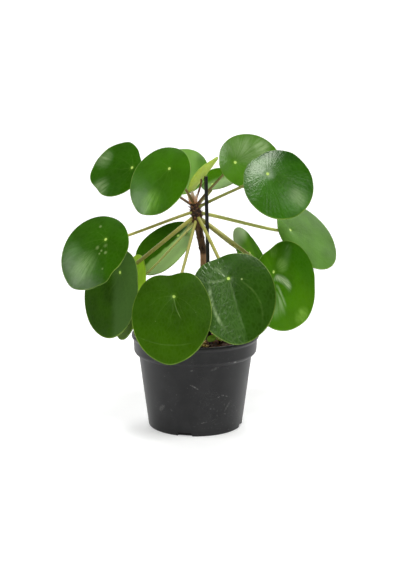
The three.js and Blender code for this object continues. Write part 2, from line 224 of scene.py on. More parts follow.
class Nodes:
    """The nodes of one material, or of the sky."""

    def __init__(self, tree):
        self.tree = tree

    def node(self, kind, settings=None, output=0, **inputs):
        node = self.tree.nodes.new("ShaderNode" + kind)
        for name, value in (settings or {}).items():
            setattr(node, name, value)
        for name, value in inputs.items():
            feed(self.tree, node.inputs[name.replace("_", " ")], value)
        return Wire(self.tree, node.outputs[output])

    def place(self):
        return self.node("TexCoord", output="Object")

    def kept(self, name, output="Fac"):
        return self.node("Attribute", {"attribute_name": name}, output)

    def axes(self, vector):
        node = self.tree.nodes.new("ShaderNodeSeparateXYZ")
        feed(self.tree, node.inputs[0], vector)
        return [Wire(self.tree, socket) for socket in node.outputs]

    def noise(self, vector, per_metre, detail=3, roughness=0.5):
        return self.node("TexNoise", None, "Fac", Vector=vector, Scale=per_metre, Detail=detail,
                         Roughness=roughness)

    def mix(self, share, first, second):
        """The first colour, turning into the second where the share is 1. Both are wires, or 0 to 255."""
        node = self.tree.nodes.new("ShaderNodeMix")
        node.data_type = "RGBA"
        feed(self.tree, node.inputs["Factor"], share)
        for socket, value in zip(node.inputs[6:8], (first, second)):
            feed(self.tree, socket, value if isinstance(value, Wire) else linear(value))
        return Wire(self.tree, node.outputs[2])


class Finish(Nodes):
    """One material, whose sockets are set to values or fed by nodes."""

    def __init__(self, name, roughness=0.5, **fixed):
        self.material = bpy.data.materials.new(name)
        self.material.use_nodes = True
        super().__init__(self.material.node_tree)
        self.shader = self.tree.nodes["Principled BSDF"]
        self.set(Roughness=roughness, **fixed)

    def set(self, **inputs):
        for name, value in inputs.items():
            feed(self.tree, self.shader.inputs[name.replace("_", " ")], value)

    def done(self, colour, height, metres, strength, **inputs):
        """The material, with its surface raised by the height, from 0 to 1, times so many metres."""
        bump = self.node("Bump", Height=height, Distance=metres, Strength=strength)
        self.set(Base_Color=colour, Normal=bump, **inputs)
        return self.material


print("colour test, mid grey:", [round(part, 3) for part in linear((128, 128, 128))])

# %% [markdown]
# A studio for a glossy plant: a white floor that turns grey far to the left and right, and a sky that
# is bright behind the plant and dim on the camera's side. What is dim keeps the leaves deep green and
# the pot black. The floor glows a little, so that shadows on it stay faint. One wide soft sun, high in
# front, puts the broad pale sheens on the leaves. Three soft panels, at the left, in front and at
# the right, add the lesser ones.

# %% Floor, sky and sun
FLOOR_RADIUS, GREY_FROM, GREY_TO = 14, 0.45, 0.95
FLOOR_SHADE, FAR_SHADE, FLOOR_GLOW, FAR_GLOW = 0.62, 0.17, 0.44, 0.12
SKY_DIM, SKY_LOW, SKY_HIGH = 0.02, 1.6, 3.0
SUN_FROM, SUN_DEGREES, SUN_STRENGTH = Vector((0.195, -0.405, 0.893)), 22, 2.3

bpy.ops.mesh.primitive_circle_add(vertices=64, radius=FLOOR_RADIUS, fill_type="NGON")
floor = bpy.context.object
floor.name = "floor"
floor_paint = Finish("floor_paint", 0.9, Specular_IOR_Level=0.1, Emission_Strength=1.0)
x, y, _ = floor_paint.axes(floor_paint.place())
# Behind the plant the grey starts a little farther out.
far = (x.math("ABSOLUTE") - y * 0.12).step(GREY_FROM, GREY_TO)
floor_paint.set(Base_Color=FLOOR_SHADE - far * (FLOOR_SHADE - FAR_SHADE),
                Emission_Color=FLOOR_GLOW - far * (FLOOR_GLOW - FAR_GLOW))
floor.data.materials.append(floor_paint.material)

sky = bpy.data.worlds.new("sky")
sky.use_nodes = True
bpy.context.scene.world = sky
heavens = Nodes(sky.node_tree)
x, y, z = heavens.axes(heavens.node("TexCoord", output="Generated"))
behind = (y - x.math("ABSOLUTE") * 0.35).step(0.0, 0.5)
brightness = behind * (z.step(0.08, 0.24) * SKY_LOW + z.step(0.5, 0.85) * SKY_HIGH) + SKY_DIM
feed(sky.node_tree, sky.node_tree.nodes["Background"].inputs["Strength"], brightness)
sky.node_tree.nodes["Background"].inputs["Color"].default_value = (1, 1, 1, 1)

bpy.ops.object.light_add(type="SUN", location=SUN_FROM)
sun = bpy.context.object
sun.rotation_euler = SUN_FROM.to_track_quat("Z", "Y").to_euler()
sun.data.angle = math.radians(SUN_DEGREES)
sun.data.energy = SUN_STRENGTH

# %% Panels
# A panel: its bearing and elevation in degrees, its width and height in m, its watts and distance.
PANELS = [(-90, 18, 0.24, 0.18, 1.0, 1.2), (-14, 27, 0.2, 0.7, 2.0, 1.3), (51, 34, 0.2, 0.2, 0.5, 1.2)]
PANEL_AIM = Vector((0, 0, 0.2))
for azimuth, elevation, width, height, watts, distance in PANELS:
    way = heading(azimuth, elevation)
    bpy.ops.object.light_add(type="AREA", location=PANEL_AIM + way * distance)
    panel = bpy.context.object
    panel.rotation_euler = way.to_track_quat("Z", "Y").to_euler()
    panel.data.shape = "RECTANGLE"
    panel.data.size, panel.data.size_y = width, height
    panel.data.energy = watts
print("studio:", floor.name, sky.name, sun.name, "and", len(PANELS), "panels")

# %% [markdown]
# The pot is one moulding of black plastic. It starts as a circle at the foot, and the open edge is
# pulled up the outside, over the lip and down the inside, a ring at a time, as on a potter's wheel.
# A bevel rounds its edges. Its drain slots and holes are cut by simple blocks.

# %% Turn a round body
def turn_body(sides, rings):
    """A closed body. Its open edge is pulled through rings of (radius, height) in mm."""
    (radius, height), *others = [(radius * MM, height * MM) for radius, height in rings]
    bpy.ops.mesh.primitive_circle_add(vertices=sides, radius=radius, location=(0, 0, height))
    body = settle(bpy.context.object)
    open_edit(body)
    for next_radius, next_height in others:
        bpy.ops.mesh.extrude_edges_move(TRANSFORM_OT_translate={"value": (0, 0, next_height - height)})
        scale = next_radius / radius
        bpy.ops.transform.resize(value=(scale, scale, 1))
        radius, height = next_radius, next_height
    bpy.ops.mesh.select_all(action="SELECT")
    bpy.ops.mesh.fill_holes(sides=0)
    close_edit(outwards=True)
    return body


# %% Pot
POT_HEIGHT, LIP, BAND, WALL_TOP, FOOT = 89, 60.2, 58.4, 53.4, 44.4
BAND_BOTTOM, POT_WALL, POT_FLOOR, POT_EDGE = 73, 1.3, 1.8, 0.7
pot_inside = [
    (FOOT - POT_WALL, POT_FLOOR), (WALL_TOP - POT_WALL, BAND_BOTTOM - 2),
    (BAND - POT_WALL, BAND_BOTTOM + 1), (BAND - POT_WALL, POT_HEIGHT - 4),
]
pot_outside = [
    (FOOT - 1, 0), (FOOT, 1), (WALL_TOP, BAND_BOTTOM - 4), (WALL_TOP + 3, BAND_BOTTOM - 2.4),
    (BAND - 0.6, BAND_BOTTOM), (BAND, POT_HEIGHT - 5), (LIP, POT_HEIGHT - 2.6),
    (LIP - 0.4, POT_HEIGHT), (LIP - 2.2, POT_HEIGHT),
]
pot = turn_body(128, pot_outside + pot_inside[::-1])
bevel(pot, POT_EDGE, 3, 12)

# %% Drain slots and holes
SLOT_BEARINGS = (-13, 77, 167, 257)
SLOT_WIDTH, SLOT_HEIGHT, SLOT_CORNER, HOLE, HOLE_CIRCLE, CUT_DEPTH = 14, 3.8, 1.6, 3.5, 25, 9
cutters = []
for bearing in SLOT_BEARINGS:
    bpy.ops.mesh.primitive_cube_add(size=1, location=heading(bearing) * FOOT * MM)
    slot = bpy.context.object
    slot.dimensions = (SLOT_WIDTH * MM, CUT_DEPTH * MM, 2 * SLOT_HEIGHT * MM)
    slot.rotation_euler.z = math.radians(bearing)
    cutters.append(settle(slot))
    bevel(slot, SLOT_CORNER, 4)
    bpy.ops.mesh.primitive_cylinder_add(vertices=40, radius=HOLE * MM, depth=CUT_DEPTH * MM,
                                        location=heading(bearing + 45) * HOLE_CIRCLE * MM)
    cutters.append(settle(bpy.context.object))
cutter = join(cutters)
apply_modifier(pot, "BOOLEAN", object=cutter, operation="DIFFERENCE", solver="EXACT")
bpy.data.objects.remove(cutter)
smooth(pot, 35)

# %% [markdown]
# The pot's plastic is a satin black that shows dust, a few fine scratches and some larger scuffs in
# front. Dust is a noise that lightens the colour and dulls the gloss. Scratches are thin lines where a
# stretched noise passes through its middle value. Scuffs are small ellipses, broken up by noise.

# %% Pot plastic
# A scuff: its place across and up, half its length and width in mm, its turn in degrees, its strength.
SCUFFS = [(0.8, 48.5, 2.6, 0.8, -28, 0.5), (-2, 50.5, 4, 0.9, -25, 0.25), (-2.6, 66, 2.6, 0.8, 12, 0.3),
          (21.5, 38.5, 1.2, 0.9, 0, 0.45), (25.5, 39.5, 1.8, 0.8, -20, 0.45), (29, 38, 1.2, 0.7, -30, 0.3),
          (36.5, 71.5, 2.0, 1.0, 0, 0.6), (31, 72.5, 1.0, 0.6, 0, 0.3), (18, 67, 5, 1.6, 20, 0.15),
          (-31, 26, 5, 2.4, 60, 0.16), (8, 14, 3, 1, 10, 0.3), (30, 28, 7, 1.2, 60, 0.14)]


def pot_plastic():
    finish = Finish("pot_plastic", IOR=1.3)
    place = finish.place()
    mottle = finish.noise(place, 60, 4)
    dust = finish.noise(place, 420, 3).step(0.6, 0.76) * finish.noise(place, 35, 2).step(0.42, 0.62)
    streaks = finish.node("Mapping", Vector=place, Scale=(160, 160, 900), Rotation=(0.3, 0.5, 0))
    scratch = (finish.noise(streaks, 1, 2) - 0.5).math("ABSOLUTE")
    line = scratch.step(0.006, 0.0) * finish.noise(place, 24, 2).step(0.55, 0.68)
    colour = finish.mix(mottle.step(0.3, 0.7), (34, 34, 35), (43, 43, 44))
    colour = finish.mix(dust * 0.35, colour, (110, 110, 108))
    colour = finish.mix(line * 0.5, colour, (120, 120, 118))
    x, y, z = finish.axes(place)
    front = y.step(-0.02, -0.03)
    rubbed = finish.noise(place, 900, 3).step(0.36, 0.6)
    for at_x, at_z, long, wide, turn, strength in SCUFFS:
        cos, sin = math.cos(math.radians(turn)), math.sin(math.radians(turn))
        right, up = x - at_x * MM, z - at_z * MM
        away = ((right * cos + up * sin) / (long * MM)) ** 2 + ((up * cos - right * sin) / (wide * MM)) ** 2
        colour = finish.mix(away.step(1.0, 0.2) * rubbed * front * strength, colour, (150, 150, 146))
    relief = mottle * 0.5 + finish.noise(place, 900, 2) * 0.5
    return finish.done(colour, relief, 0.12 * MM, 0.25, Roughness=0.34 + mottle * 0.14 + dust * 0.2)


wear(pot, "nursery_pot", [pot_plastic()], ["pot"])

# %% [markdown]
# Potting soil is dark, crumbly and full of bark. Its body is turned like the pot, with close rings on
# top that a formula makes uneven. Bark chips lie half sunk in it: the same large ones as in the
# measured model, and many smaller crumbs, fibres and grains between them.

# %% Soil
SOIL_LEVEL, SOIL_LUMP, SOIL_GRAIN, SOIL_SUNK, GAP = 83.5, 0.9, 0.9, 0.4, 0.3


def soil_rise(x, y):
    """How high the soil lies above its level at a place, all in mm."""
    wide = math.sin(x * 0.17 + 1) * math.cos(y * 0.21) + 0.5 * math.sin(x * 0.41 - y * 0.33)
    return SOIL_LUMP * wide


soil_wall = [(radius - GAP, height + GAP) for radius, height in pot_inside[:-1]]
soil_top = [(r, SOIL_LEVEL) for r in np.linspace(BAND - POT_WALL - GAP, 1, 44)]
soil = turn_body(112, soil_wall + soil_top)
places = corners(soil)
for index, (x, y, z) in enumerate(places):
    if z > (SOIL_LEVEL - 0.1) * MM:
        grain = noise.fractal(Vector((x, y, 0)) / (4 * MM), 0.8, 2.1, 4) * SOIL_GRAIN
        places[index, 2] = (SOIL_LEVEL - SOIL_SUNK + soil_rise(x / MM, y / MM) + grain) * MM
place_corners(soil, places)
smooth(soil)

# %% Bark chips and crumbs
STEM_AT, STAKE_AT, SEEDLING_AT = (8.8, 0), (13.5, -10), (17, -24)
CHIPS, CRUMBS, CRUMB_REACH = 20, 420, 56
FRONT_CHIPS = ((7, -31, 1.2), (9, -28, 2.2), (6, -34.5, 0.8), (11, -34, 0.8), (5.5, -29, 3))


class Dice:
    """The same repeatable numbers from 0 to 1 as in the measured model."""

    def __init__(self, seed):
        self.state = seed

    def uniform(self, low, high):
        self.state = self.state * 16807 % 2147483647
        return low + (high - low) * self.state / 2147483647


def lay_chip(size, turn, x, y, lift, roughness):
    """A cube, cut once and pushed out of shape, laid so many mm above the soil."""
    bpy.ops.mesh.primitive_cube_add(size=1)
    chip = bpy.context.object
    open_edit(chip)
    bpy.ops.mesh.subdivide(number_cuts=1)
    close_edit()
    spots = corners(chip)
    # The more a point lies at a corner, the more it is drawn in. A noise then pushes it about.
    for index, spot in enumerate(spots):
        push = noise.noise_vector(Vector(spot) * 1.7 + Vector((x, y, 0)))
        rounded = spot * (1.0 - 0.22 * (np.abs(spot) > 0.4).sum() / 3)
        spots[index] = rounded + np.array(push) * roughness
    place_corners(chip, spots)
    chip.scale = [s * MM for s in size]
    chip.rotation_euler = turn
    chip.location = (x * MM, y * MM, (SOIL_LEVEL + soil_rise(x, y) + lift) * MM)
    return settle(chip)


def clear_of_stems(x, y, distance):
    return all(math.dist((x, y), spot) >= distance for spot in (STEM_AT, STAKE_AT, SEEDLING_AT))


def tumble(luck, lean):
    return luck.uniform(-lean, lean), luck.uniform(-lean, lean), luck.uniform(0, math.pi)


dice = Dice(11)
chips = []
while len(chips) < CHIPS:
    reach, bearing = dice.uniform(10, 49), dice.uniform(0, 2 * math.pi)
    x, y = reach * math.cos(bearing), reach * math.sin(bearing)
    size = (dice.uniform(5, 10), dice.uniform(3, 5.5), dice.uniform(1.6, 2.6))
    turn = tumble(dice, 0.25)
    if clear_of_stems(x, y, 10):
        chips.append(lay_chip(size, turn, x, y, GAP, 0.12))
luck = random.Random(4)
for _ in range(CRUMBS):
    reach, bearing = CRUMB_REACH * math.sqrt(luck.random()), luck.uniform(0, 2 * math.pi)
    x, y = reach * math.cos(bearing), reach * math.sin(bearing)
    size = (luck.choice((1.6, 2.4, 3.5, 6.5)), luck.uniform(0.9, 2.2), luck.uniform(0.7, 1.6))
    turn = tumble(luck, 0.5)
    if clear_of_stems(x, y, 4) and reach < CRUMB_REACH - 1:
        chips.append(lay_chip(size, turn, x, y, luck.uniform(-0.2, 0.5), 0.16))
for x, y, lift in FRONT_CHIPS:
    chips.append(lay_chip((6.5, 3, 2), tumble(luck, 0.5), x, y, lift, 0.12))
for index, chip in enumerate(chips):
    tone = 1 if index >= len(chips) - len(FRONT_CHIPS) else luck.random()
    tell(chip, "tone", [tone] * len(chip.data.vertices))
bark = join(chips)
print("bark chips and crumbs:", len(chips))


# %% Soil and bark finishes
def soil_finish():
    finish = Finish("potting_soil", 0.95)
    place = finish.place()
    crumbs = finish.noise(place, 380, 5, 0.65)
    patch = finish.noise(place, 90, 2)
    colour = finish.mix(crumbs.step(0.35, 0.68), (30, 16, 11), (92, 52, 36))
    colour = finish.mix(patch.step(0.55, 0.7) * 0.5, colour, (110, 62, 45))
    # Below 78 mm the soil turns near black: painted shade, so the soil seen in the drain slots looks dark.
    deep = finish.axes(place)[2].step(78 * MM, 60 * MM)
    colour = finish.mix(deep, colour, (12, 9, 8))
    return finish.done(colour, crumbs, 1.2 * MM, 0.8)


def bark_finish():
    finish = Finish("bark_chips", 0.9)
    tone = finish.kept("tone")
    grain = finish.noise(finish.place(), 700, 3)
    colour = finish.mix(tone.step(0.2, 0.75), (58, 30, 20), (128, 76, 48))
    colour = finish.mix(tone.step(0.86, 0.95), colour, (208, 168, 118))
    colour = finish.mix(grain * 0.4, colour, (40, 22, 15))
    return finish.done(colour, grain, 0.3 * MM, 0.6)


wear(soil, "potting_soil", [soil_finish()], ["soil"])
wear(bark, "bark_chips", [bark_finish()])

# %% [markdown]
# The stem is a woody rod that leans and bends a little. It is grown as the plant grows it: a ring at
# its foot, pulled up in short steps along a line. The swollen rings where old leaves stood come from
# its thickness at each step, and a little noise makes the bark uneven.

# %% Stem
STEM_FOOT, STEM_TOP = 26, 213
STEM_LINE = [(9, STEM_FOOT), (8.8, SOIL_LEVEL), (8.3, 120), (7.8, 150), (7.6, 166), (5.4, 177),
             (3.4, 188), (1.8, 198), (0.2, 207), (-0.9, STEM_TOP)]
STEM_RADIUS = [(3.4, STEM_FOOT), (3.4, 100), (3.2, 150), (3.0, 163), (3.4, 172), (3.5, 186),
               (4.7, 196), (5.1, 203), (4.5, 208.5), (3.6, 211.8), (2.4, STEM_TOP)]
SCARS = (94, 105, 117, 128, 139, 149, 170, 180, 189)
SCAR_DEPTH, SCAR_HALF_WIDTH = 0.5, 1.6
BARE_FROM, CROWN_FROM, CROWN_BLEND, BARK_BUMP, CROWN_BUMP = 84, 190, 8, 0.22, 0.8


def value_at(pairs, height):
    return float(np.interp(height, [h for v, h in pairs], [v for v, h in pairs]))


def stem_ring(height):
    nearest = min(abs(height - scar) for scar in SCARS)
    return value_at(STEM_RADIUS, height) + SCAR_DEPTH * max(0.0, 1 - nearest / SCAR_HALF_WIDTH)


heights = [*np.arange(STEM_FOOT, BARE_FROM, 6), *np.arange(BARE_FROM, STEM_TOP, 0.7), STEM_TOP]
stem = turn_body(28, [(stem_ring(h), h) for h in heights] + [(1.2, STEM_TOP + 0.2)])
places = corners(stem)
for index, (x, y, z) in enumerate(places):
    height = z / MM
    around = Vector((x, y, 0)).normalized()
    knob = noise.fractal(Vector((x / (2.2 * MM), y / (2.2 * MM), z / (3.2 * MM))), 0.9, 2.1, 3)
    crown = max(0.0, min(1.0, (height - CROWN_FROM) / CROWN_BLEND))
    shift = (BARK_BUMP + CROWN_BUMP * crown) * knob * MM
    places[index] = (x + around.x * shift + value_at(STEM_LINE, height) * MM, y + around.y * shift, z)
place_corners(stem, places)
smooth(stem)


# %% Stem bark
def stem_bark():
    finish = Finish("stem_bark", 0.82)
    place = finish.place()
    height = finish.axes(place)[2]
    stretched = finish.node("Mapping", Vector=place, Scale=(520, 520, 150))
    grain = finish.noise(stretched, 1, 4, 0.6)
    patches = finish.noise(place, 190, 3)
    colour = finish.mix(grain.step(0.3, 0.7), (48, 28, 18), (104, 74, 50))
    colour = finish.mix(patches.step(0.56, 0.7) * 0.6, colour, (134, 104, 74))
    band = height.step(153 * MM, 156 * MM) * height.step(166.5 * MM, 163.5 * MM)
    colour = finish.mix(band * (0.55 + patches * 0.5), colour, (186, 138, 104))
    crown = height.step(194 * MM, 201 * MM)
    colour = finish.mix(crown * (0.95 - patches * 0.4), colour, (30, 16, 12))
    return finish.done(colour, grain * 0.7 + patches * 0.3, 0.5 * MM, 0.8)


wear(stem, "woody_stem", [stem_bark()], ["stem"])

# %% [markdown]
# The stake is a plain plastic rod, pushed into the soil beside the stem. It starts as a cylinder, a
# bevel softens its ends, and it is then laid along its line.

# %% Stake
STAKE_FOOT, STAKE_TOP = Vector((14.9, -10, 30)) * MM, Vector((9.8, -10, 239.2)) * MM
STAKE_RADIUS, STAKE_EDGE = 1.7, 0.4
stake_length = (STAKE_TOP - STAKE_FOOT).length
bpy.ops.mesh.primitive_cylinder_add(vertices=40, radius=STAKE_RADIUS * MM, depth=stake_length)
stake = bpy.context.object
bevel(stake, STAKE_EDGE, 3)
stake.location = (STAKE_FOOT + STAKE_TOP) / 2
stake.rotation_euler = (STAKE_TOP - STAKE_FOOT).to_track_quat("Z", "Y").to_euler()
smooth(settle(stake), 30)


def stake_plastic():
    finish = Finish("stake_plastic")
    place = finish.place()
    rub = finish.noise(finish.node("Mapping", Vector=place, Scale=(500, 500, 60)), 1, 3)
    colour = finish.mix(rub.step(0.45, 0.75), (8, 8, 8), (24, 24, 24))
    return finish.done(colour, rub, 0.1 * MM, 0.3, Roughness=0.26 + rub * 0.2)


wear(stake, "support_stake", [stake_plastic()], ["stake"])

# %% [markdown]
# Each leaf is one round blade on a long stalk that meets it inside its edge, like a small shield. All
# blades start from one flat disc of rings and spokes round the stalk's end. A leaf's sizes, those of
# the measured model in mm and degrees, say where each corner of the disc goes: out to the edge, bent,
# folded, and turned to face its way.

# %% The leaves' sizes
def sizes(at, facing, size, seat, stalk, root, **shape):
    """Where the stalk meets the blade; the blade's bearing, elevation and roll; its length and width;
    where along it the stalk sits; the stalk's thickness, and how high on the stem it starts. Bends are
    across and along. A bump of the edge has a bearing on the blade, a height and a spread."""
    length, width = size
    return dict(at=at, facing=facing, length=length, width=width, seat=seat, stalk=stalk, root=root, **shape)


LEAVES = {
    "upper_left_outer": sizes(
        (-58, 8, 244), (-38, 31, -80), (58, 55), 0.18, 2, 208, dome=2, egg=-0.01, bend=(-4, -4),
        bumps=[(10, 1.5, 18), (45, -1.8, 16), (205, -2.2, 20), (255, 1.5, 14), (318, -1, 14)]),
    "upper_left_front": sizes(
        (-22.5, -40, 250), (-37, 30, -38), (68, 64), 0.29, 2.1, 209.5, dome=2, egg=0.03, bend=(2, 11),
        bumps=[(18, 1, 14)]),
    "top_rear": sizes((-11.5, 34, 245.5), (-8, 40, 2), (50, 48), 0.32, 1.9, 209.5, egg=-0.04, bend=(4, 6)),
    "youngest": sizes(
        (4.5, -2, 236), (-115, 38, 180), (42, 32), 0.4, 1.6, 211, bend=(-40, 0), hook=4, bumps=[(0, 2, 14)]),
    "upper_right_rear": sizes((16.5, 36, 225), (-16, 66, 138), (40, 36), 0.28, 1.9, 208, fold=15),
    "top_right": sizes(
        (36.5, -8, 251.5), (20, 30, 92), (62, 56), 0.25, 2, 211.6, dome=1, bend=(2, 3), out=2.8,
        bumps=[(168, -0.7, 12), (240, -0.7, 14)]),
    "upper_right_front": sizes(
        (65, -38, 245), (15, 30, 45), (66, 67), 0.29, 2.3, 207, dome=2, bend=(-2, 8),
        bumps=[(105, 1, 14), (162, -1, 12), (198, 0.7, 12)]),
    "right_outer": sizes(
        (89.5, 24, 182.5), (54, 37, 63), (78, 72), 0.21, 2.8, 204, dome=1, bend=(-2, -2),
        bumps=[(168, -1, 14)]),
    "right_rear": sizes((52.5, 42, 157.5), (72, 29, 7), (74, 65), 0.37, 2.4, 199, bend=(3, 5)),
    "lower_right": sizes(
        (72, -32, 154), (42, 4, 42), (87, 82), 0.25, 3.2, 200, egg=-0.05, bend=(6, 2),
        bumps=[(0, 1, 16), (45, -1.3, 14), (162, -2.2, 14)]),
    "front_right": sizes(
        (30, -62, 154), (-3, 22, 18), (83, 76), 0.275, 2.7, 202.5, dome=1.5, egg=-0.1, bend=(4, 10),
        bumps=[(21, -0.8, 12), (140, 1, 16), (186, -1.6, 13), (212, 1, 12), (298, -0.8, 12), (340, 1, 14)]),
    "front_left": sizes(
        (-19, -68, 139), (-14, 20, -3), (83, 74), 0.27, 2.4, 199.5, egg=-0.06, bend=(-2, 14),
        bumps=[(5, 1.2, 14), (158, 2.4, 16), (191, -3, 13), (223, 1.2, 16)]),
    "left_outer": sizes(
        (-80, -45, 186), (-35, 35, -39), (74, 72), 0.28, 2.4, 205, dome=2.5, egg=0.03, bend=(-8, 14),
        bumps=[(20, 1.2, 14), (84, 1.8, 9), (99, -1.8, 9), (140, 0.8, 16)]),
    "lower_left": sizes(
        (-68.5, -25, 152), (-50, 11, -28), (87, 79), 0.235, 3.2, 201, dome=1.5, egg=0.06, bend=(-2, 3),
        bumps=[(138, -1.5, 13), (174, 0.7, 14)]),
    "left_rear": sizes(
        (-16.5, 36, 175.5), (-48, 46, -7), (66, 62), 0.25, 2.4, 202, egg=0.2, fold=12,
        bumps=[(110, 2.5, 30)]),
    "lower_left_rear": sizes((-59, -4, 138), (-70, 16, 0), (82, 72), 0.33, 1.8, 196.5, bend=(3, 5)),
}
BLADE_THICKNESS, DOME_SHARE, DIMPLE, DIMPLE_RADIUS, ROUNDED = 0.9, 0.75, 0.3, 3.2, 0.28
STALK_HOOK, STALK_BOW, STALK_SUNK, SWELL_AT_STEM, SWELL_AT_BLADE = 9, 3, 0.7, 1.28, 1.02


# %% Where a point of the blade goes
def blade_axes(leaf):
    """Out of the upper face, along the blade to its tip, and across it."""
    azimuth, elevation, roll = leaf["facing"]
    normal, down = heading(azimuth, elevation), heading(azimuth, elevation - 90)
    along = down * math.cos(math.radians(roll)) + normal.cross(down) * math.sin(math.radians(roll))
    return normal, along, normal.cross(along)


def blade_edge(leaf, bearing):
    """The outline in mm along and across the blade: an egg with bumps, off centre on the stalk."""
    bump = np.zeros_like(bearing)
    for place, height, spread in leaf.get("bumps", []):
        away = (bearing - place + 180) % 360 - 180
        bump += height * np.exp(-((away / spread) ** 2))
    cos, sin = np.cos(np.radians(bearing)), np.sin(np.radians(bearing))
    long = leaf["length"] * (0.5 - leaf["seat"]) + (leaf["length"] / 2 + bump) * cos
    wide = (leaf["width"] / 2 * (1 + leaf.get("egg", 0) * cos) + bump) * sin
    return long, wide


def bent(distance, height, degrees, length):
    """A distance and a height, rolled round so that the whole length bends by the degrees."""
    if not degrees:
        return distance, height
    radius = length / math.radians(degrees)
    angle = distance / radius
    return (radius + height) * np.sin(angle), (radius + height) * np.cos(angle) - radius


def blade_places(leaf, reach, bearing, ripple):
    """Each corner's place, and its place on the flat blade, in mm."""
    long, wide = (reach * part for part in blade_edge(leaf, bearing))
    flat = np.stack([long, wide, np.zeros_like(long)], axis=1)
    bend_across, bend_along = leaf.get("bend", (0, 0))
    wide, high = bent(wide, ripple, bend_across, leaf["width"])
    fold = math.radians(leaf.get("fold", 0))
    high = high + math.sin(fold) * (np.hypot(wide, 2) - 2)
    wide = wide * math.cos(fold)
    long, high = bent(long, high, bend_along, leaf["length"])
    normal, along, across = (np.array(axis) for axis in blade_axes(leaf))
    places = np.outer(long, along) + np.outer(wide, across) + np.outer(high, normal)
    return np.array(leaf["at"]) + places, flat


# %% [markdown]
# The disc is modelled once: a circle of spokes whose edge is extruded and shrunk, ring after ring, and
# merged at the middle. Close rings near the edge let the rim be rounded. Every blade is a copy of it.

# %% One disc for all blades
SPOKES = 96
RINGS = [0.985, 0.955, 0.9, 0.82, 0.73, 0.64, 0.55, 0.46, 0.37, 0.28, 0.2, 0.13, 0.075, 0.035]


def flat_disc(spokes, rings):
    bpy.ops.mesh.primitive_circle_add(vertices=spokes, radius=1)
    disc = bpy.context.object
    open_edit(disc)
    size = 1.0
    for ring in rings:
        bpy.ops.mesh.extrude_edges_move()
        bpy.ops.transform.resize(value=(ring / size, ring / size, 1))
        size = ring
    bpy.ops.mesh.extrude_edges_move()
    bpy.ops.mesh.merge(type="CENTER")
    close_edit(outwards=True)
    return disc


blade_disc = flat_disc(SPOKES, RINGS)
print("disc:", len(blade_disc.data.vertices), "corners")


# %% Blades
def ripple_of(name, leaf, reach, bearing):
    """The blade's own waviness in mm, more towards its edge, with a dimple over the stalk."""
    luck = random.Random(name)
    wave = np.zeros_like(reach)
    for count in (2, 3, 5, 7):
        start = luck.uniform(0, 6.28)
        wave += np.sin(np.radians(count * bearing) + start) * luck.uniform(0.25, 0.6) / count ** 0.5
    dimple = -DIMPLE * np.exp(-((reach * leaf["length"] / 2 / DIMPLE_RADIUS) ** 2))
    dome = leaf.get("dome", 0) * (DOME_SHARE - reach**2)
    return leaf.get("ripple", 0.6) * (wave - 0.5) * reach**2.4 + dome + dimple


def make_blade(name, leaf, disc, thickness):
    """A blade from a copy of the disc. The faces that its thickness adds below are the underside."""
    blade = disc.copy()
    blade.data = disc.data.copy()
    bpy.context.collection.objects.link(blade)
    spots = corners(blade)
    reach = np.hypot(spots[:, 0], spots[:, 1])
    bearing = np.degrees(np.arctan2(spots[:, 1], spots[:, 0]))
    ripple = ripple_of(name, leaf, reach, bearing)
    spots, flat = blade_places(leaf, reach, bearing, ripple)
    place_corners(blade, spots * MM)
    tell(blade, "flat", flat * MM)
    tell(blade, "reach", reach)
    tops = len(blade.data.polygons)
    apply_modifier(blade, "SOLIDIFY", thickness=thickness * MM, offset=-1, use_even_offset=True)
    for face in blade.data.polygons[tops:2 * tops]:
        face.material_index = 1
    bevel(blade, ROUNDED * thickness, 2, 50)
    return smooth(blade, 60)


# %% Stalks
def root_of(leaf):
    """Where a stalk starts, in the middle of the stem, and its bearing."""
    start = Vector((value_at(STEM_LINE, leaf["root"]), 0, leaf["root"]))
    return start, math.degrees(math.atan2(leaf["at"][0] - start.x, -leaf["at"][1]))


def make_stalk(leaf):
    """A stalk along one Bezier curve, from inside the stem to the blade's underside."""
    normal = blade_axes(leaf)[0]
    at = Vector(leaf["at"])
    start, bearing = root_of(leaf)
    start += heading(bearing) * leaf.get("out", 0)
    turn = at - normal * leaf.get("hook", STALK_HOOK)
    lift = start.lerp(turn, 1 / 3) + Vector((0, 0, STALK_BOW))
    bpy.ops.curve.primitive_bezier_curve_add()
    curve = bpy.context.object
    curve.data.resolution_u = 22
    curve.data.bevel_depth = leaf["stalk"] / 2 * MM
    curve.data.bevel_resolution = 4
    curve.data.use_fill_caps = True
    first, last = curve.data.splines[0].bezier_points
    seat = at + normal * (leaf.get("dome", 0) * DOME_SHARE - STALK_SUNK)
    for point, spot, ahead, swell in ((first, start, lift, SWELL_AT_STEM),
                                      (last, seat, 2 * seat - turn, SWELL_AT_BLADE)):
        point.handle_left_type = point.handle_right_type = "FREE"
        point.co = spot * MM
        point.handle_right = ahead * MM
        point.handle_left = (2 * spot - ahead) * MM
        point.radius = swell
    only(curve)
    bpy.ops.object.convert(target="MESH")
    stalk = bpy.context.object
    spots = corners(stalk)
    chord = np.array((at - start) * MM)
    tell(stalk, "along", np.clip((spots - np.array(start * MM)) @ chord / (chord @ chord), 0, 1))
    return smooth(stalk)


# %% [markdown]
# A blade's upper face is a smooth, glossy green with a pale dot over the stalk, faint veins and rays
# that leave it, small cells between them, and a thin pale rim. The pattern reads each corner's place on
# the flat blade, so it lies on the leaf and not in the air. What only one leaf shows is in its look, in
# mm from the dot and degrees from the long axis: soft round patches of painted sheen, sides painted
# paler as sheen and darker mostly as shade, quilted sides, bowed lines, some of them veins and some
# painted sheen streaks, and specks. The young leaf glows a little, as if lit from behind.

# %% Leaf finishes
VEINS, VEIN_BEND, VEIN_WIDTH = 9, 0.7, 0.6
GLOW = dict(Subsurface_Scale=3 * MM, Subsurface_Radius=(0.8, 0.9, 0.3))


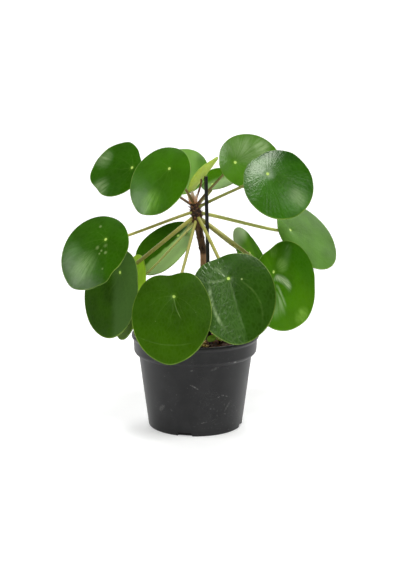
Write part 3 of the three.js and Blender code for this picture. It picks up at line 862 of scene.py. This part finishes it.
def leaf_map(finish, size):
    """What the patterns read: the flat place on the blade, the distance from the dot, the main veins,
    which leave the dot evenly and bend to the blade's tip, and the small cells between them."""
    flat = finish.kept("flat", "Vector")
    long, wide, _ = finish.axes(flat)
    out = (long * long + wide * wide) ** 0.5
    sway = (finish.noise(flat, 45, 2) - 0.5) * 0.9
    angle = wide.math("ARCTAN2", long) / (1 - out * (VEIN_BEND / size)) + sway
    turns = angle * (VEINS / (2 * math.pi)) + 0.5
    side = (turns - turns.math("FLOOR") - 0.5).math("ABSOLUTE") * (2 * math.pi / VEINS) * out
    ahead = (long / out).step(-0.85, 0.1)
    veins = side.step(VEIN_WIDTH * MM, 0.0) * out.step(size * 0.55, size * 0.1) * ahead
    stretched = finish.node("Mapping", Vector=flat, Scale=(0.65, 1, 1))
    net = finish.node("TexVoronoi", {"feature": "DISTANCE_TO_EDGE"}, "Distance", Vector=stretched, Scale=300)
    return flat, long, wide, out, veins, net.step(0.0, 0.3)


def line_mask(long, wide, ends, bow, width):
    """1 on a thin bowed line between two places on the flat blade, in mm."""
    (long_from, wide_from), (long_to, wide_to) = ends
    length = math.dist(*ends)
    ahead, aside = (long_to - long_from) / length, (wide_to - wide_from) / length
    right, up = long - long_from * MM, wide - wide_from * MM
    share = (right * ahead + up * aside) / (length * MM)
    off = up * ahead - right * aside - share * (1 - share) * (4 * bow * MM)
    return off.math("ABSOLUTE").step(width * MM, 0.0) * share.step(0.0, 0.15) * share.step(1.0, 0.7)


def leaf_top(name, leaf, look):
    finish = Finish("leaf_top_" + name, IOR=look.get("ior", 1.38), Specular_Tint=(0.94, 1, 0.86, 1),
                    Subsurface_Weight=look.get("glow", 0.0), **GLOW)
    flat, long, wide, out, veins, cells = leaf_map(finish, leaf["length"] * MM)
    clouds, grain = finish.noise(flat, 40, 3), finish.noise(flat, 480, 3)
    spread = finish.node("CombineXYZ", X=long / out * 13, Y=wide / out * 13, Z=out * 60)
    rays = finish.noise(spread, 1, 2).step(0.2, 0.8)

    def away(at_long, at_wide):
        return ((long - at_long * MM) ** 2 + (wide - at_wide * MM) ** 2) ** 0.5

    def towards(bearing):
        return long * math.cos(math.radians(bearing)) + wide * math.sin(math.radians(bearing))

    vary = look.get("vary", 0.08)
    dark, light = ([c * (1 + change) for c in look["green"]] for change in (-vary, vary))
    colour = finish.mix(clouds.step(0.3, 0.7), dark, light)
    # Sheens are painted highlights: soft round pale patches, streaked by the rays. lower_left's is a darker
    # patch.
    for at_long, at_wide, radius, strength, tint in look.get("sheens", []):
        edge = away(at_long, at_wide) + (clouds - 0.5) * (10 * MM)
        patch = edge.step(radius * MM, radius * 0.2 * MM) * (0.1 + rays * 1.2 + grain * 0.6)
        colour = finish.mix(patch * strength, colour, tint)
    # Sides paint light and shade into the colour: a paler side is painted sheen, a darker one mostly
    # painted shade, and a few only make the green deeper or yellower.
    for bearing, start, end, strength, tint in look.get("sides", []):
        side = towards(bearing) + (clouds - 0.5) * (8 * MM)
        colour = finish.mix(side.step(start * MM, end * MM) * strength, colour, tint)
    quilt = lines = veins * 0
    for bearing, start, end, strength in look.get("quilts", []):
        quilt = quilt + towards(bearing).step(start * MM, end * MM) * strength
    colour = finish.mix((1 - cells) * (quilt * 0.3 + look.get("net", 0.05)), colour, (104, 146, 70))
    colour = finish.mix(veins * 0.06, colour, (150, 190, 90))
    # Lines are veins, and on some leaves painted sheen streaks along creases and a painted veil of
    # reflection.
    for ends, bow, width, strength, tint in look.get("lines", []):
        line = line_mask(long, wide, ends, bow, width)
        colour = finish.mix(line * (0.2 + rays * 1.4) * strength, colour, tint)
        lines = line + lines
    for at_long, at_wide, radius, strength in look.get("specks", []):
        colour = finish.mix(away(at_long, at_wide).step(radius * MM, 0.0) * strength, colour, (180, 206, 130))
    colour = finish.mix(out.step(4.5 * MM, 0.5 * MM) * 0.3, colour, (104, 150, 40))
    rim = finish.kept("reach").step(0.975, 0.99)
    colour = finish.mix(rim * (0.2 + clouds.step(0.35, 0.65) * 0.5), colour, (140, 168, 70))
    colour = finish.mix(out.step(1.7 * MM, 1.0 * MM) * look.get("dot", 1.0), colour, (196, 226, 112))
    relief = finish.noise(flat, 60, 2) * 0.4 + finish.noise(flat, 300, 2) * look.get("pebbles", 0.1)
    relief = relief + grain * 0.1 + rays * out.step(2 * MM, 12 * MM) * look.get("rays", 0.06)
    relief = relief - veins * 0.03 - lines * 0.1 + cells * (quilt + 0.02)
    return finish.done(colour, relief, 0.6 * MM, 1.0, Roughness=look.get("rough", 0.2) + clouds * 0.06)


def leaf_underside(name, shade, deep, ior=1.38, glow=0.0):
    finish = Finish(name, 0.55, IOR=ior, Subsurface_Weight=glow, **GLOW)
    flat, _, _, _, veins, cells = leaf_map(finish, 70 * MM)
    clouds = finish.noise(flat, 70, 3)
    colour = finish.mix(clouds.step(0.3, 0.7), shade, deep)
    colour = finish.mix((1 - cells) * 0.25, colour, [c * 0.85 for c in shade])
    colour = finish.mix(veins * 0.5, colour, (190, 205, 140))
    return finish.done(colour, veins * 0.6 + clouds * 0.6 - cells * 0.2, 0.6 * MM, 1.0)


def stalk_finish(name, base, end):
    finish = Finish(name, 0.42)
    along, place = finish.kept("along"), finish.place()
    flecks, shade = finish.noise(place, 620, 3), finish.noise(place, 120, 2)
    colour = finish.mix(along + (shade - 0.5) * 0.3, base, end)
    colour = finish.mix(along.step(0.08, 0.0) * 0.6, colour, (96, 62, 34))
    colour = finish.mix(flecks.step(0.56, 0.7) * 0.25, colour, (112, 84, 48))
    return finish.done(colour, flecks, 0.2 * MM, 0.4)


# %% The looks of single leaves
# Sheens and specks: a place on the flat blade, a radius, a strength and, for sheens, a colour. Sheens
# are painted highlights, except one darker patch on lower_left; specks are pale dots of the leaf.
# Sides and quilts: a bearing on the blade, how far out they start and are full, a strength, a colour.
# Paler sides are painted sheen, and darker ones are mostly painted shade.
# Lines: two ends, how far they bow, half their width, a strength and a colour. Some are veins, some
# painted sheen streaks.
OLIVE, TAN, STRAW = (132, 136, 64), (164, 161, 74), (204, 206, 118)
BROWN, RUST = (104, 74, 38), (110, 62, 34)
# SHEEN tints painted highlights. MOSS is a vein colour, and on lower_right also a painted veil of reflection.
PALE, SHEEN, MOSS = (150, 186, 96), (170, 196, 140), (110, 140, 84)
LOOKS = {
    "upper_left_outer": dict(
        green=(42, 88, 0), stalk=(BROWN, BROWN),
        sheens=[(36, -12, 14, 0.35, SHEEN), (34, 19, 14, 0.4, SHEEN)]),
    "upper_left_front": dict(
        green=(56, 106, 4), stalk=(BROWN, OLIVE), sheens=[(33, 12, 16, 0.55, (118, 172, 56))]),
    "top_rear": dict(
        green=(72, 122, 10), stalk=(BROWN, OLIVE), sides=[(-90, -18, -9, 0.85, (122, 168, 74))]),
    "youngest": dict(green=(174, 198, 80), stalk=(RUST, RUST), ior=1.2, rough=0.4, glow=0.3),
    # Its pale side is a painted sheen.
    "upper_right_rear": dict(green=(58, 106, 0), ior=1.05, sides=[(-90, -8, 0, 0.8, (136, 164, 106))]),
    "top_right": dict(
        green=(70, 118, 18), stalk=(BROWN, OLIVE), pebbles=0.2, ior=1.28,
        sheens=[(20, 11, 24, 0.25, SHEEN), (6, 16, 16, 0.12, SHEEN), (30, 14, 11, 0.45, SHEEN)]),
    # Its darker sides are painted shade on the top, against the sun's real sheen there; its sheens are
    # painted.
    "upper_right_front": dict(
        green=(46, 98, 0), stalk=(OLIVE, OLIVE), rough=0.18, pebbles=0.14, rays=0.1,
        sides=[(90, 6, 18, 0.6, (34, 84, 0)), (127, 12, 20, 0.6, (16, 60, 0))],
        sheens=[(36, 1, 14, 0.28, SHEEN), (-1, -1, 9, 0.3, (204, 220, 196))]),
    "right_outer": dict(green=(80, 124, 36), stalk=(STRAW, STRAW)),
    "right_rear": dict(
        green=(76, 124, 4), ior=1.05,
        sides=[(180, 9, 21, 0.85, (158, 180, 134)), (60, 4, 15, 0.8, (46, 88, 2))]),
    # Its sheens and lines are all painted sheen: glints along its creases and, in MOSS, a painted veil.
    "lower_right": dict(
        green=(58, 108, 0), ior=1.12,
        sides=[(0, 20, 55, 0.4, (80, 132, 0)), (90, 10, 30, 0.6, (40, 92, 0))],
        sheens=[(-12, 2, 14, 0.5, (80, 136, 10)), (4, 12, 9, 0.5, (124, 168, 76)),
                (-14, 13, 8, 0.3, (124, 168, 76)), (27, -21, 15, 0.2, SHEEN),
                (58, -5, 11, 0.5, (150, 196, 80))],
        lines=[(((3, -4), (31, 2)), 4, 5, 0.5, (196, 216, 170)), (((-4, 32), (10, 8)), 0, 8, 0.25, MOSS),
               (((9, -6), (38, -13)), 1, 2.2, 0.35, SHEEN), (((13, -11), (43, -20)), 1, 3, 0.3, SHEEN)]),
    # Its left side is painted paler as sheen. Its lines in SHEEN are painted sheen on the crest and on veins.
    "front_right": dict(
        green=(38, 74, 4), net=0.06, pebbles=0.12, quilts=[(-90, -3, 4, 0.32)],
        sides=[(-90, -2, 4, 0.3, (76, 108, 54))], specks=[(4, 11.2, 1.3, 0.9), (-11, -4, 0.8, 0.4)],
        lines=[(((0, 0), (56, 0)), -0.5, 1.7, 0.25, MOSS), (((0, -18), (47, -15)), -4, 2.6, 0.5, SHEEN),
               (((-14, -11), (0, -2)), 1.5, 2.4, 0.25, SHEEN), (((-3, -20), (0, -1)), -1, 2.2, 0.25, SHEEN),
               (((3, 8), (52, 15)), 9, 1.6, 0.1, PALE)]),
    "front_left": dict(
        green=(46, 82, 0), ior=1.3, dot=0.7, specks=[(24, -14, 0.6, 0.25), (12, 22, 0.6, 0.25)],
        sides=[(0, 22, 55, 0.5, (60, 100, 0))],
        lines=[(((0, 0), (21, 11)), -1.5, 0.6, 0.35, PALE), (((38, -33), (36, 30)), -7, 0.8, 0.08, PALE)]),
    "left_outer": dict(
        green=(44, 88, 1), ior=1.34,
        sheens=[(34, -16, 14, 0.25, (110, 156, 84)), (32, 6, 20, 0.38, (144, 184, 108))],
        specks=[(-2, -16.5, 2.2, 0.35), (10.5, 1.3, 3, 0.3), (8.8, 7.2, 1.8, 0.4), (11.8, 8.3, 1.6, 0.4),
                (6.5, 12.1, 2.4, 0.4), (3.1, 5.7, 3, 0.2), (16.8, 23.9, 1.6, 0.3)]),
    "lower_left": dict(
        green=(44, 80, 0), ior=1.12, sides=[(128, -15, -4, 0.7, (72, 102, 50))],
        sheens=[(26, -3, 18, 0.6, (34, 62, 2))]),
    # Its pale half is a painted sheen.
    "left_rear": dict(sides=[(78, 0, 3, 0.8, (148, 184, 100))], green=(44, 84, 0), ior=1.12),
    # Its darker lower part is painted shade, cast by the leaves in front of it.
    "lower_left_rear": dict(
        green=(178, 220, 60), stalk=(STRAW, STRAW), ior=1.05, sides=[(0, 20, 30, 0.9, (40, 70, 0))]),
}

# %% Put the leaves on
under = leaf_underside("leaf_under", (140, 166, 96), (166, 188, 124))
young_under = leaf_underside("young_leaf_under", (182, 204, 74), (196, 218, 94), 1.2, 0.3)
for name, leaf in LEAVES.items():
    look, young = LOOKS[name], name == "youngest"
    slot = "young_leaf" if young else "leaf"
    blade = make_blade(name, leaf, blade_disc, BLADE_THICKNESS)
    wear(blade, "blade_" + name, [leaf_top(name, leaf, look), young_under if young else under],
         ["leaf_" + name])
    skin = stalk_finish("stalk_" + name, *look.get("stalk", (TAN, TAN)))
    wear(make_stalk(leaf), "stalk_" + name, [skin], ["leaf_" + name])
bpy.data.objects.remove(blade_disc)

# %% [markdown]
# The growing tip is a tuft of dry, papery scales. One scale is a small grid, rolled into a pointed
# trough by a formula and given a thin wall. Copies stand where the measured model has its four cones,
# and smaller ones fill the tuft and the feet of the stalks.

# %% Tip scales
# A scale: its foot, how far its tip leans from it, its radius and height in mm, and its facing.
TIP_SCALES = [((-2, -1.4), (-1.6, -4), 2.6, 12, -10), ((-2, 0.6), (-0.6, -0.6), 1.7, 12, 160),
              ((-2.8, -0.8), (-6, -3), 2.2, 11, -50), ((-0.8, -1.6), (2.6, -3), 2.0, 10, 40)]
SMALL_SCALES, SCALE_ROLL, SCALE_WALL = 14, 1.9, 0.22


def make_scale(foot, lean, radius, height, base, facing):
    """A pointed trough that opens towards its facing, which is a bearing."""
    bpy.ops.mesh.primitive_grid_add(x_subdivisions=8, y_subdivisions=10, size=2)
    scale = bpy.context.object
    spots = corners(scale)
    up = (spots[:, 1] + 1) / 2
    roll = spots[:, 0] * SCALE_ROLL
    swell = radius * np.clip(1.15 - up ** 1.7 * 1.1, 0.05, 1)
    side, depth = np.sin(roll) * swell, (1 - np.cos(roll)) * swell * 0.7
    ahead = heading(facing)
    x = foot[0] + lean[0] * up ** 2 - side * ahead.y + depth * ahead.x
    y = foot[1] + lean[1] * up ** 2 + side * ahead.x + depth * ahead.y
    place_corners(scale, np.stack([x, y, base + height * up], axis=1) * MM)
    tell(scale, "along", up)
    apply_modifier(scale, "SOLIDIFY", thickness=SCALE_WALL * MM, offset=0)
    return smooth(scale)


scales = [make_scale(*shape, STEM_TOP - 0.4, facing) for *shape, facing in TIP_SCALES]
luck = random.Random(9)
for _ in range(SMALL_SCALES):
    bearing = math.degrees(luck.uniform(0, 2 * math.pi))
    foot, lean = heading(bearing) * 1.8 - Vector((1.6, 0, 0)), heading(bearing) * 2.6 - Vector((1, 0, 0))
    scales.append(make_scale(foot, lean, luck.uniform(0.8, 1.4), luck.uniform(3, 8), STEM_TOP - 1,
                             bearing + 180))
tip = join(scales)


# %% Scale finish
def scale_finish(name, foot, tip):
    finish = Finish(name, 0.7)
    along = finish.kept("along")
    fibre = finish.noise(finish.node("Mapping", Vector=finish.place(), Scale=(1500, 1500, 240)), 1, 3)
    colour = finish.mix(along + (fibre - 0.5) * 0.8, foot, tip)
    return finish.done(colour, fibre, 0.2 * MM, 0.5)


tip_finish = scale_finish("tip_scales", (236, 166, 108), (255, 244, 226))
wear(tip, "growing_tip_scales", [tip_finish], ["growing_tip"])

# %% Stipules at the feet of the stalks
# Every stalk has three: how far each is swung from the stalk's bearing, and its height in mm.
STIPULES = ((0, 4.4), (38, 3.2), (-41, 2.6))
STIPULE_OUT, STIPULE_LEAN, STIPULE_RADIUS = 4.2, 3, 1.2
stipules = []
for leaf in LEAVES.values():
    start, bearing = root_of(leaf)
    for swing, height in STIPULES:
        way, base = heading(bearing + swing), leaf["root"] - 2.6 + swing * 0.05
        stipules.append(make_scale(start + way * STIPULE_OUT, way * STIPULE_LEAN, STIPULE_RADIUS, height,
                                   base, bearing + swing + 180))
wear(join(stipules), "stipules", [scale_finish("stipules", (40, 22, 15), (140, 92, 58))])

# %% [markdown]
# In front of the stem a seedling stands in the soil, with three small cupped leaves. They are made
# like the large ones, from a plainer disc and with much smaller sizes.

# %% Seedling
# A leaf: its bearing, how far out and how high it stands, and its radius, in mm.
SEEDLING_LEAVES = [(-20, 4.5, 7, 4.8), (115, 4, 4.6, 3.6), (235, 3.6, 5.6, 3)]
small_disc = flat_disc(32, [0.96, 0.8, 0.6, 0.4, 0.2])
ground = SOIL_LEVEL + soil_rise(*SEEDLING_AT)
seedling_look = dict(green=(104, 132, 36), vary=0.15, rough=0.5, dot=0.0, ior=1.1)
seedling_top = leaf_top("seedling", dict(length=10), seedling_look)
sprouts = []
for bearing, lean, height, radius in SEEDLING_LEAVES:
    at = Vector((*SEEDLING_AT, ground + height)) + heading(bearing) * lean
    sprout = sizes(at, (bearing, 61, 0), (2 * radius, 1.9 * radius), 0.4, 0, 0, bend=(-40, -30), ripple=0.15)
    blade = make_blade("seedling_%d" % bearing, sprout, small_disc, 0.6)
    blade.data.materials.append(seedling_top)
    blade.data.materials.append(young_under)
    sprouts.append(blade)
wear(join(sprouts), "seedling_leaves", [], ["seedling"])
bpy.data.objects.remove(small_disc)
